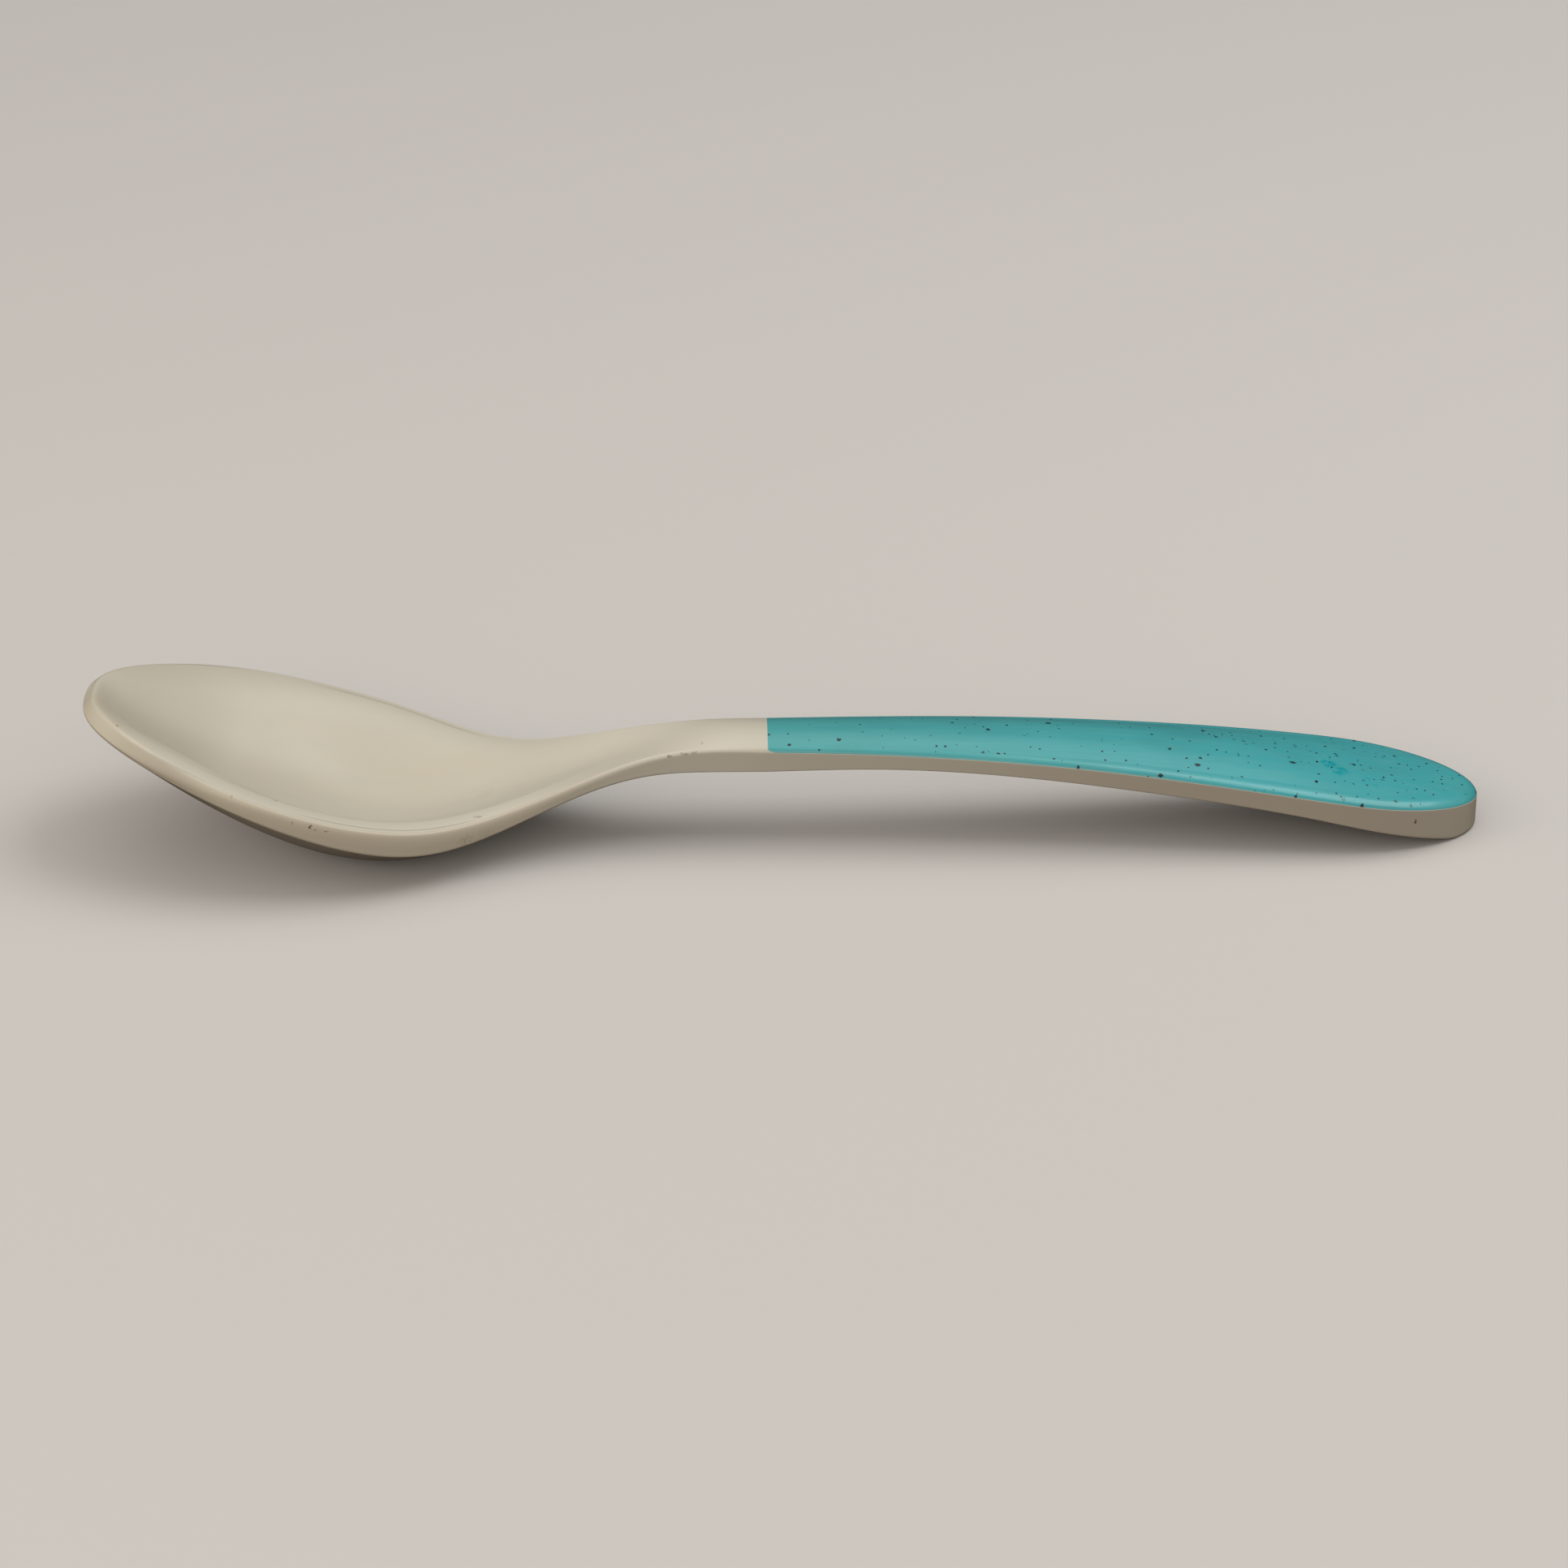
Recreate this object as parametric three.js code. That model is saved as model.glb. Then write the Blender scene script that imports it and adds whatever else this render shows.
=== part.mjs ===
// A two-tone moulded tablespoon at rest on a table: a cream body with a coloured layer bonded to its handle.
// Millimetres, +Z up, the bowl at -X and the handle at +X, the origin under the middle of the bounding box.
import * as THREE from 'three';

// Lengths along the spoon, laid end to end from the tip of the bowl
const noseLength = 34;
const heelLength = 55;
const neckLength = 8.2;
const gripLength = 102.8;

// Places measured from the stations between those lengths
const tipRoundLength = 28;
const rimLowFromWidest = 24;
const restFromWidest = 9;
const endRoundLength = 20;

// Full widths in plan
const bowlWidth = 45.2;
const noseWidth = 31.4;
const neckWidth = 10.5;
const frontGripWidth = 13;
const gripWidth = 22;

// Heights of the rim and shoulder line above the table
const tipHeight = 23.6;
const rimLowHeight = 8.25;
const archHeight = 15.05;
const endHeight = 5.25;

// Height of the side wall, from the rim or shoulder down to the lower edge
const tipWall = 2.3;
const noseWall = 2.4;
const bowlWall = 3.35;
const bendWall = 1.95;
const neckWall = 3.7;
const gripWall = 3.15;
const flareWall = 4;

// Thickness on the centre line
const bowlFloor = 2.9;
const heelFloor = 2.9;
const neckCrown = 0.7;
const gripCrown = 1.05;
const flareCrown = 0.8;

// Rim and shoulder, a superellipse in section: a flat slope at the tip (power near 1) that passes to an
// ellipse (power 2), its width in plan, its depth and its rise over the end
const tipRimInset = 1.8;
const tipRimDepthShare = 0.85;
const tipRimPower = 1.05;
const rimInset = 0.45;
const rimDepthShare = 0.6;
const neckRadius = 0.5;
const stepShoulderInset = 0.9;
const stepShoulderDepth = 0.85;
const endShoulderInset = 2.2;
const endShoulderDepth = 1.15;
const endShoulderLift = 0.4;

// Lower edges and the small flats that the spoon rests on
const lowerEdgeRadius = 0.2;
const endEdgeRadius = 0.5;
const bellyFlatDepth = 0.35;
const endFlatLength = 4;

// Coloured layer on the handle; its seat begins a little above the foot of the rounded shoulder
const overlayThickness = 0.45;
const seatBorderRise = 0.13;
const overlayEdgeRise = 0.42;
const overlayFrontDraft = 0.15;
const bondClearance = 0.1;

// Shape of the freeform surfaces: roundness of the two ends in plan (2 is an ellipse, more is blunter),
// fullness of the dished sections and flatness of the brim inside the rim
const noseRoundness = 2.8;
const endRoundness = 2;
const dishFullness = 2;
const bellyFullness = 1.36;
const brimFlatness = 3.4;

// Mesh density: stations from tip to end, columns on each side of the centre line, rows that follow
// the rounded ends, steps of a rounded edge, rows on the side wall as shares of its height, and samples
// of the line inside the rim
const stationCount = 64;
const halfColumns = 6;
const bowedRows = 8;
const filletSteps = 4;
const wallRows = [0.12, 0.88];
const profileSamples = 400;

// Finish of the two mouldings
const CREAM = { color: 0xcbc4ae, roughness: 0.32, metalness: 0 };
const TURQUOISE = { color: 0x4fa3a2, roughness: 0.28, metalness: 0 };

const { lerp, smoothstep } = THREE.MathUtils;

const widestAt = noseLength;
const neckAt = noseLength + heelLength;
const overlayAt = neckAt + neckLength;
const overallLength = overlayAt + gripLength;
const rimLowAt = widestAt + rimLowFromWidest;
const restAt = widestAt + restFromWidest;
const endRoundAt = overallLength - endRoundLength;
const endFlatAt = overallLength - endFlatLength;
const midNoseAt = widestAt * 0.6;
const tangentStep = overallLength * 1e-6;

// Natural cubic spline through [place, value] pairs, straight beyond its ends
function smoothCurve(points) {
  const last = points.length - 1;
  const gap = (i) => points[i + 1][0] - points[i][0];
  const slope = (i) => (points[i + 1][1] - points[i][1]) / gap(i);
  const bend = new Array(last + 1).fill(0);
  const share = new Array(last + 1).fill(0);
  for (let i = 1; i < last; i++) {
    const pivot = 2 * (gap(i - 1) + gap(i)) - gap(i - 1) * share[i - 1];
    share[i] = gap(i) / pivot;
    bend[i] = (6 * (slope(i) - slope(i - 1)) - gap(i - 1) * bend[i - 1]) / pivot;
  }
  for (let i = last - 1; i > 0; i--) bend[i] -= share[i] * bend[i + 1];
  return (place) => {
    let i = 0;
    while (i < last - 1 && place > points[i + 1][0]) i++;
    const t = place - points[i][0];
    const h = gap(i);
    const start = slope(i) - (h * (2 * bend[i] + bend[i + 1])) / 6;
    if (t < 0) return points[i][1] + start * t;
    if (t > h) return points[last][1] + (slope(i) + (h * (bend[i] + 2 * bend[i + 1])) / 6) * (t - h);
    return points[i][1] + t * (start + t * (bend[i] / 2 + (t * (bend[i + 1] - bend[i])) / (6 * h)));
  };
}

// A station part of the way between two others, with a value part of the way between theirs
function part(from, to, along, across) {
  return [lerp(from[0], to[0], along), lerp(from[1], to[1], across)];
}

// Plan: half the width of a spoon without its rounded ends
const noseSide = [0, noseWidth / 2];
const bowlSide = [widestAt, bowlWidth / 2];
const neckSide = [neckAt, neckWidth / 2];
const frontGripSide = [lerp(neckAt, endRoundAt, 0.34), frontGripWidth / 2];
const gripSide = [endRoundAt, gripWidth / 2];
const sideLine = smoothCurve([
  noseSide,
  bowlSide,
  part(bowlSide, neckSide, 0.27, 0.19),
  part(bowlSide, neckSide, 0.46, 0.555),
  part(bowlSide, neckSide, 0.65, 0.815),
  part(bowlSide, neckSide, 0.84, 0.975),
  neckSide,
  frontGripSide,
  part(frontGripSide, gripSide, 0.5, 0.5),
  gripSide,
  [overallLength, gripSide[1]],
]);

// Quarter round that closes an end: 0 at the very end, 1 from the reach inwards
function roundedEnd(distance, reach, roundness) {
  const t = Math.min(Math.max(distance / reach, 0), 1);
  return (1 - (1 - t) ** roundness) ** (1 / roundness);
}

function halfWidth(place) {
  const nose = roundedEnd(place, noseLength, noseRoundness);
  const end = roundedEnd(overallLength - place, endRoundLength, endRoundness);
  return sideLine(place) * nose * end;
}

// Side view: the rim and shoulder line, the wall under it and the lower edge
const tipEdge = [0, tipHeight];
const lowEdge = [rimLowAt, rimLowHeight];
const archEdge = [overlayAt, archHeight];
const endEdge = [overallLength, endHeight];
const edgeLine = smoothCurve([
  tipEdge,
  part(tipEdge, lowEdge, 0.37, 0.475),
  part(tipEdge, lowEdge, 0.73, 0.875),
  lowEdge,
  part(lowEdge, archEdge, 0.35, 0.48),
  part(lowEdge, archEdge, 0.6, 0.86),
  archEdge,
  part(archEdge, endEdge, 0.3, 0.085),
  part(archEdge, endEdge, 0.55, 0.31),
  part(archEdge, endEdge, 0.8, 0.665),
  endEdge,
]);
const wallLine = smoothCurve([
  [0, tipWall],
  [midNoseAt, noseWall],
  [lerp(widestAt, rimLowAt, 0.625), bowlWall],
  [lerp(rimLowAt, neckAt, 0.4), bendWall],
  [neckAt, neckWall],
  [lerp(overlayAt, endRoundAt, 0.15), gripWall],
  [lerp(overlayAt, endRoundAt, 0.64), gripWall],
  [endRoundAt, flareWall],
  [endFlatAt, edgeLine(endFlatAt)],
]);

function lowerEdge(place) {
  return Math.max(edgeLine(place) - wallLine(place), 0);
}

// Centre line of the underside: from the tip down to the table and up again to the neck
const tipUnder = [0, lowerEdge(0)];
const restUnder = [restAt, -bellyFlatDepth];
const neckUnder = [neckAt, lowerEdge(neckAt)];
const bellyLine = smoothCurve([
  tipUnder,
  part(tipUnder, restUnder, 0.23, 0.37),
  part(tipUnder, restUnder, 0.465, 0.663),
  part(tipUnder, restUnder, 0.7, 0.87),
  restUnder,
  part(restUnder, neckUnder, 0.37, 0.31),
  part(restUnder, neckUnder, 0.59, 0.63),
  part(restUnder, neckUnder, 0.8, 0.885),
  neckUnder,
]);

function underLine(place) {
  return place < neckAt ? bellyLine(place) : lowerEdge(place);
}

// Centre line of the top: the bowl's floor, then the crown of the handle
const floorLine = smoothCurve([
  [0, tipWall],
  [midNoseAt, bowlFloor],
  [restAt, bowlFloor],
  [lerp(restAt, neckAt, 0.6), heelFloor],
  [neckAt, neckWall + neckCrown],
]);
const crownLine = smoothCurve([
  [neckAt, neckCrown],
  [lerp(neckAt, endRoundAt, 0.5), gripCrown],
  [endRoundAt, flareCrown],
  [overallLength - endShoulderInset, 0],
]);

function topLine(place) {
  return place < neckAt ? underLine(place) + floorLine(place) : crestLine(place) + crownLine(place);
}

// Crest of the rounded rim and shoulder: how far inside the outline, how far above its foot and how high
function shoulderInset(place) {
  const rim = lerp(tipRimInset, rimInset, smoothstep(place, 0, tipRoundLength));
  const neck = lerp(rim, neckRadius, smoothstep(place, rimLowAt, neckAt));
  const step = lerp(neck, stepShoulderInset, smoothstep(place, neckAt, overlayAt));
  return lerp(step, endShoulderInset, towardsEnd(place));
}

function shoulderDepth(place) {
  const share = lerp(tipRimDepthShare, rimDepthShare, smoothstep(place, 0, tipRoundLength));
  const rim = share * wallLine(place);
  const neck = lerp(rim, neckRadius, smoothstep(place, rimLowAt, neckAt));
  const step = lerp(neck, stepShoulderDepth, smoothstep(place, neckAt, overlayAt));
  return lerp(step, endShoulderDepth, towardsEnd(place));
}

function shoulderPower(place) {
  return lerp(tipRimPower, 2, smoothstep(place, 0, tipRoundLength));
}

function crestLine(place) {
  return edgeLine(place) + endShoulderLift * towardsEnd(place);
}

function towardsEnd(place) {
  return smoothstep(place, overlayAt, endRoundAt);
}

// Point of the outline, moved inwards by an inset
function outlinePoint(place, inset) {
  const before = Math.max(place - tangentStep, 0);
  const after = Math.min(place + tangentStep, overallLength);
  const along = new THREE.Vector2(after - before, halfWidth(after) - halfWidth(before));
  if (place <= 0) along.set(0, 1);
  if (place >= overallLength) along.set(0, -1);
  along.normalize();
  return new THREE.Vector2(place + along.y * inset, halfWidth(place) - along.x * inset);
}

// Places from the tip to the end, closer together towards both
function spreadPlaces(count) {
  const places = [];
  for (let i = 0; i <= count; i++) places.push((overallLength * (1 - Math.cos((Math.PI * i) / count))) / 2);
  return places;
}

// Square of the half width inside the rounded rim and shoulder, which runs smoothly to 0 at both ends
function squareInsideRim() {
  const samples = spreadPlaces(profileSamples).map((place) => outlinePoint(place, shoulderInset(place)));
  return (place) => {
    const i = samples.findIndex((sample) => sample.x >= place);
    if (i < 1) return 0;
    const t = (place - samples[i - 1].x) / (samples[i].x - samples[i - 1].x);
    return lerp(samples[i - 1].y ** 2, samples[i].y ** 2, t);
  };
}

// How far a section has reached its centre height at a point: 0 on the outline, about 1 in mid bowl
function dished(square, across, widest, fullness, flatness = 1) {
  const inside = Math.max((square - across * across) / (widest * widest), 0);
  return 1 - Math.max(1 - inside ** flatness, 0) ** fullness;
}

// Height that a point of a section gains over its edge, where the centre line gains a known height:
// a full dish in the bowl, passing to a plain arc across the neck and the handle
function sectionRise(rise, place, across, square, widest, fullness, flatness) {
  const inside = Math.max(square - across * across, 0);
  if (inside <= 0) return 0;
  const centre = dished(square, 0, widest, fullness, flatness);
  const bowl = (rise / centre) * dished(square, across, widest, fullness, flatness);
  const arc = (rise * inside) / square;
  return lerp(bowl, arc, smoothstep(place, rimLowAt, neckAt));
}

const crestSquare = squareInsideRim();
const crestWidest = bowlWidth / 2 - rimInset;

// Top surface before its shoulder is rounded
function topHeight(place, across) {
  const rise = topLine(place) - crestLine(place);
  const square = crestSquare(place);
  return crestLine(place) + sectionRise(rise, place, across, square, crestWidest, dishFullness, brimFlatness);
}

function underHeight(place, across) {
  const drop = lowerEdge(place) - underLine(place);
  const square = halfWidth(place) ** 2;
  const fall = sectionRise(drop, place, across, square, bowlWidth / 2, bellyFullness);
  return Math.max(lowerEdge(place) - fall, 0);
}

// Height that a round of a width and a depth takes off at an inset from the outline
function roundDrop(inset, width, depth, power = 2) {
  const outside = Math.max(1 - inset / width, 0);
  return depth * (1 - (1 - outside ** power) ** (1 / power));
}

function edgeRadius(place) {
  return lerp(lowerEdgeRadius, endEdgeRadius, smoothstep(place, endRoundAt, endFlatAt));
}

// Insets of the rings that round an edge, as shares of its radius, from an angle on the round to its top
function filletShares(startAngle, steps) {
  const shares = [];
  for (let i = 0; i <= steps; i++) shares.push(1 - Math.cos(lerp(startAngle, Math.PI / 2, i / steps)));
  return shares;
}

// Stations of the body, with a pair that steps down to the seat of the coloured layer
function bodyStations() {
  const spacing = overallLength / stationCount;
  const clear = spreadPlaces(stationCount).filter((place) => Math.abs(place - overlayAt) > spacing);
  const front = clear.filter((place) => place < overlayAt).map((place) => ({ place, sunk: false }));
  const back = clear.filter((place) => place > overlayAt).map((place) => ({ place, sunk: true }));
  const step = [
    { place: overlayAt, sunk: false },
    { place: overlayAt + overlayFrontDraft, sunk: true },
  ];
  return [...front, ...step, ...back];
}

// Collects the points and faces of one closed skin
class Skin {
  constructor() {
    this.positions = [];
    this.triangles = [];
  }

  point(x, y, z) {
    this.positions.push(x, y, z);
    return this.positions.length / 3 - 1;
  }

  // Faces between two rows of points, wound so that the second row lies to the left of the first
  strip(first, second) {
    for (let i = 0; i + 1 < first.length; i++) {
      const [a, b, c, d] = [first[i], first[i + 1], second[i + 1], second[i]];
      this.triangles.push(a, b, c, a, c, d);
    }
  }

  geometry() {
    const geometry = new THREE.BufferGeometry();
    geometry.setAttribute('position', new THREE.Float32BufferAttribute(this.positions, 3));
    geometry.setIndex(this.triangles);
    geometry.computeVertexNormals();
    return geometry;
  }
}

// One ring of points along the outline, listed by station on each side; both sides share the points
// on the centre line
function ring(skin, stations, insetAt, heightAt) {
  const sides = { near: [], far: [] };
  stations.forEach((station) => {
    const inset = insetAt(station);
    const far = outlinePoint(station.place, inset);
    const onCentre = station.place <= 0 || station.place >= overallLength;
    const z = heightAt(station, far.x, far.y, inset);
    const farPoint = skin.point(far.x, onCentre ? 0 : far.y, z);
    sides.far.push(farPoint);
    sides.near.push(onCentre ? farPoint : skin.point(far.x, -far.y, z));
  });
  return sides;
}

// Rows of points that fill a ring: the rounded end rows are the ring's own points, and the rows after them
// are bowed less and less until they run straight across; crowded rows have closer points at their sides
function fillRows(skin, stations, sides, heightAt, { roundStart = true, crowded = false }) {
  const columns = [];
  for (let j = -halfColumns; j <= halfColumns; j++) columns.push(j);
  const last = stations.length - 1;
  const firstRow = roundStart ? halfColumns : 0;
  const lastRow = last - halfColumns;
  const xOf = (index) => skin.positions[3 * index];
  const yOf = (index) => skin.positions[3 * index + 1];
  const pick = (j, k) => (j < 0 ? sides.near[k] : sides.far[k]);
  const startBow = roundStart ? xOf(sides.far[halfColumns]) - xOf(sides.far[0]) : 0;
  const endBow = xOf(sides.far[last]) - xOf(sides.far[lastRow]);
  const rows = [];
  for (let k = firstRow; k <= lastRow; k++) {
    if (roundStart && k === firstRow) {
      rows.push(columns.map((j) => pick(j, Math.abs(j))));
    } else if (k === lastRow) {
      rows.push(columns.map((j) => pick(j, last - Math.abs(j))));
    } else {
      const fromStart = Math.max(1 - (k - firstRow) / bowedRows, 0) ** 2;
      const fromEnd = Math.max(1 - (lastRow - k) / bowedRows, 0) ** 2;
      rows.push(
        columns.map((j) => {
          if (Math.abs(j) === halfColumns) return pick(j, k);
          const even = j / halfColumns;
          const close = crowded ? Math.sin((Math.PI / 2) * even) : even;
          const across = lerp(close, even, fromStart + fromEnd);
          const bow = (endBow * fromEnd - startBow * fromStart) * (1 - even * even);
          const x = xOf(sides.far[k]) + bow;
          const y = yOf(sides.far[k]) * across;
          return skin.point(x, y, heightAt(stations[k], x, y));
        }),
      );
    }
  }
  return rows;
}

// Ring as one list of points: out along the far side, round the end and back along the near side
function aroundOutline(sides) {
  return [...sides.far, ...sides.near.slice(0, -1).reverse()];
}

// Joins rings that are listed from the underside to the top
function joinRings(skin, rings) {
  const loops = rings.map(aroundOutline);
  for (let i = 0; i + 1 < loops.length; i++) skin.strip(loops[i + 1], loops[i]);
}

// Joins the rows of a filled ring, facing up or down
function joinRows(skin, rows, upward) {
  for (let i = 0; i + 1 < rows.length; i++) {
    if (upward) skin.strip(rows[i + 1], rows[i]);
    else skin.strip(rows[i], rows[i + 1]);
  }
}

// Insets of the shoulder's rings from a height above its foot, and a ring at a share of its width
function sharesFrom(rise, place, steps) {
  return filletShares(Math.asin(Math.min(rise / shoulderDepth(place), 1)), steps);
}

function shoulderRing(skin, stations, shareAt, heightAt) {
  return ring(skin, stations, (station) => shareAt(station) * shoulderInset(station.place), heightAt);
}

// The layer is flush with the shoulder: its seat, its underside and its edge each begin on the round
const seatDepth = overlayThickness + bondClearance;
const roundShares = filletShares(0, filletSteps);

function seatShare(place) {
  return sharesFrom(seatBorderRise, place, filletSteps)[0];
}

function topShares(place) {
  return sharesFrom(overlayEdgeRise, place, filletSteps - 1);
}

function undersideShares(place) {
  const [border] = sharesFrom(seatBorderRise + bondClearance, place, filletSteps);
  return [border, ...topShares(place).slice(1)];
}

function topSurface(station, x, y, inset) {
  const { place } = station;
  const drop = roundDrop(inset, shoulderInset(place), shoulderDepth(place), shoulderPower(place));
  return topHeight(x, y) - drop;
}

function crestSurface(station, x, y) {
  return topSurface(station, x, y, shoulderInset(station.place));
}

function bodyTop(station, x, y, inset) {
  const open = topSurface(station, x, y, inset);
  return station.sunk ? Math.min(open, topHeight(x, y) - seatDepth) : open;
}

function bodyCrest(station, x, y) {
  return bodyTop(station, x, y, shoulderInset(station.place));
}

function spoonBody() {
  const skin = new Skin();
  const stations = bodyStations();
  const underside = (station, x, y) => underHeight(x, y);
  const roundedUnderside = (station, x, y, inset) => {
    const radius = edgeRadius(station.place);
    return underHeight(x, y) + roundDrop(inset, radius, radius);
  };
  const lowerRings = roundShares.map((share) => {
    return ring(skin, stations, (station) => share * edgeRadius(station.place), roundedUnderside);
  });
  const upperRings = roundShares.map((share, i) => {
    const shareAt = (station) => (station.sunk && i === 1 ? seatShare(station.place) : share);
    return shoulderRing(skin, stations, shareAt, bodyTop);
  });
  const wallRings = wallRows.map((share) => {
    const onWall = (station, x, y) => {
      return lerp(roundedUnderside(station, x, y, 0), bodyTop(station, x, y, 0), share);
    };
    return ring(skin, stations, () => 0, onWall);
  });
  joinRings(skin, [...lowerRings.slice().reverse(), ...wallRings, ...upperRings]);
  joinRows(skin, fillRows(skin, stations, lowerRings.at(-1), underside, {}), false);
  joinRows(skin, fillRows(skin, stations, upperRings.at(-1), bodyCrest, { crowded: true }), true);
  return named(skin, CREAM, 'spoon_body');
}

// The layer repeats the stations of its seat, with its front face a clearance behind the step of the body
function overlayStations(front) {
  const seat = bodyStations().filter((station) => station.sunk);
  return [{ place: front + bondClearance }, ...seat.slice(1)];
}

function handleOverlay() {
  const skin = new Skin();
  const topStations = overlayStations(overlayAt);
  const seatStations = overlayStations(overlayAt + overlayFrontDraft);
  const seatSurface = (station, x, y, inset = shoulderInset(station.place)) => {
    return Math.min(topSurface(station, x, y, inset), topHeight(x, y) - overlayThickness);
  };
  const ringsOf = (sharesAt, stations, heightAt) => {
    return roundShares.slice(1).map((share, i) => {
      return shoulderRing(skin, stations, (station) => sharesAt(station.place)[i], heightAt);
    });
  };
  const topRings = ringsOf(topShares, topStations, topSurface);
  const seatRings = ringsOf(undersideShares, seatStations, seatSurface);
  joinRings(skin, [...seatRings.slice().reverse(), ...topRings]);
  const openFront = { roundStart: false, crowded: true };
  const topRows = fillRows(skin, topStations, topRings.at(-1), crestSurface, openFront);
  const seatRows = fillRows(skin, seatStations, seatRings.at(-1), seatSurface, openFront);
  joinRows(skin, topRows, true);
  joinRows(skin, seatRows, false);

  const frontEdge = (rings, rows) => [
    ...rings.slice(0, -1).map((sides) => sides.near[0]),
    ...rows[0],
    ...rings.slice(0, -1).reverse().map((sides) => sides.far[0]),
  ];
  skin.strip(frontEdge(topRings, topRows), frontEdge(seatRings, seatRows));
  return named(skin, TURQUOISE, 'handle_overlay');
}

function named(skin, finish, name) {
  const mesh = new THREE.Mesh(skin.geometry(), new THREE.MeshStandardMaterial(finish));
  mesh.name = name;
  return mesh;
}

const spoon = new THREE.Group();
spoon.name = 'tablespoon';
spoon.add(spoonBody(), handleOverlay());
spoon.position.x = -overallLength / 2;

export default spoon;
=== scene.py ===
"""Looks of a two-tone moulded tablespoon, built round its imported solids."""
import math

import bpy
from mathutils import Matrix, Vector, kdtree


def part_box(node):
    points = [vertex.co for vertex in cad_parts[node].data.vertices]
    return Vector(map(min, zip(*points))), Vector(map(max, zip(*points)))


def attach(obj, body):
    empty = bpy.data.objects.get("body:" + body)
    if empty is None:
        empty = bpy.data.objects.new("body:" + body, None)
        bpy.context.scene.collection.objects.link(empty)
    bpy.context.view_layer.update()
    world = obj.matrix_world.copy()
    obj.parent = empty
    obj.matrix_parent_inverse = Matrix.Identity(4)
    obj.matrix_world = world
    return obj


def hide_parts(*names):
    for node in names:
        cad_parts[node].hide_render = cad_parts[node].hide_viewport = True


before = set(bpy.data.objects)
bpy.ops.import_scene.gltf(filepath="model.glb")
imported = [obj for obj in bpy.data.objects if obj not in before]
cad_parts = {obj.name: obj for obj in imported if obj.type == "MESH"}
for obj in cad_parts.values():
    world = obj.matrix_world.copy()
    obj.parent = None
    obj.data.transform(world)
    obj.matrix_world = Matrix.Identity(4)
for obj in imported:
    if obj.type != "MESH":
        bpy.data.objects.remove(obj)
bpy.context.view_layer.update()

bl_info = {
    "name": "Moulded tablespoon",
    "version": (1, 0, 0),
    "blender": (4, 5, 0),
    "location": "3D View > Sidebar > Tablespoon",
    "description": "Finishes the cream body and the speckled layer of a moulded tablespoon",
    "category": "Object",
}

MILLIMETRE = 0.001
SEAT_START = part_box("handle_overlay")[0].x - 0.5 * MILLIMETRE
WELD_DISTANCE = 0.001 * MILLIMETRE
FACING = 0.7
UPRIGHT = 0.35
SENSOR_WIDTH = 36.0
WHITE = (1.0, 1.0, 1.0)
PLASTIC_IOR = 1.5
BUMP_DEPTH = 0.1 * MILLIMETRE


class SpoonShape(bpy.types.PropertyGroup):
    """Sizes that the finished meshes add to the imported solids"""

    bond_gap: bpy.props.FloatProperty(
        name="Bond gap",
        description="Clearance between the coloured layer and its seat, closed on the finished spoon",
        default=0.1 * MILLIMETRE,
        unit="LENGTH",
        precision=5,
    )
    sharp_angle: bpy.props.FloatProperty(
        name="Sharp angle",
        description="Edges that turn by more than this stay sharp",
        default=math.radians(36),
        subtype="ANGLE",
    )
    smooth_levels: bpy.props.IntProperty(
        name="Smoothing",
        description="Times that each face is divided",
        default=2,
        min=0,
        max=3,
    )


def colour_setting(name, description, default):
    return bpy.props.FloatVectorProperty(
        name=name, description=description, default=default, size=3, min=0, max=1, subtype="COLOR"
    )


def share_setting(name, description, default):
    return bpy.props.FloatProperty(
        name=name, description=description, default=default, min=0, max=1, subtype="FACTOR"
    )


class CreamFinish(bpy.types.PropertyGroup):
    """Colours and gloss of the cream moulding"""

    colour: colour_setting("Cream", "Colour of the clean moulding", (0.552, 0.514, 0.422))
    warm_colour: colour_setting("Warm cream", "Colour of its soft warmer clouds", (0.555, 0.505, 0.398))
    grey_colour: colour_setting("Grey cream", "Colour of its faint lengthwise drifts", (0.52, 0.49, 0.41))
    # Painted light: a paler cream laid on the brim, the far rim, the neck and a patch in the nose to lighten
    # them
    painted_light_colour: colour_setting("Brim", "Paler colour of the flat brim inside the rim", (0.66, 0.615, 0.51))
    # Near side: partly rubbing wear of the rim and partly painted warm bounce light on the wall
    rim_wear_and_light_colour: colour_setting("Rubbed edge", "Warmer colour of the rim and the wall", (0.55, 0.485, 0.372))
    # Painted shade on the wall beside the nose
    wall_shade_colour: colour_setting("Dull wall", "Duller colour of the wall beside the nose", (0.42, 0.37, 0.285))
    line_colour: colour_setting("Rim line", "Dull colour of the fine line inside the rim", (0.36, 0.32, 0.25))
    # Painted shade inside the nose of the bowl
    nose_shade_colour: colour_setting("Nose", "Duller colour inside the nose of the bowl", (0.476, 0.442, 0.357))
    tip_colour: colour_setting("Worn tip", "Yellowed colour at the tip of the bowl", (0.51, 0.455, 0.34))
    scuff_colour: colour_setting("Scuff", "Brown of the rubbed places on the wall", (0.3, 0.22, 0.14))
    nick_colour: colour_setting("Nick", "Dark brown of the small nicks", (0.11, 0.065, 0.035))
    # Painted shade on the cream along the handle
    handle_shade_colour: colour_setting("Handled sides", "Duller colour of the handle's sides", (0.445, 0.39, 0.312))
    gloss: share_setting("Roughness", "Roughness of the polished surface", 0.3)


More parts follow.
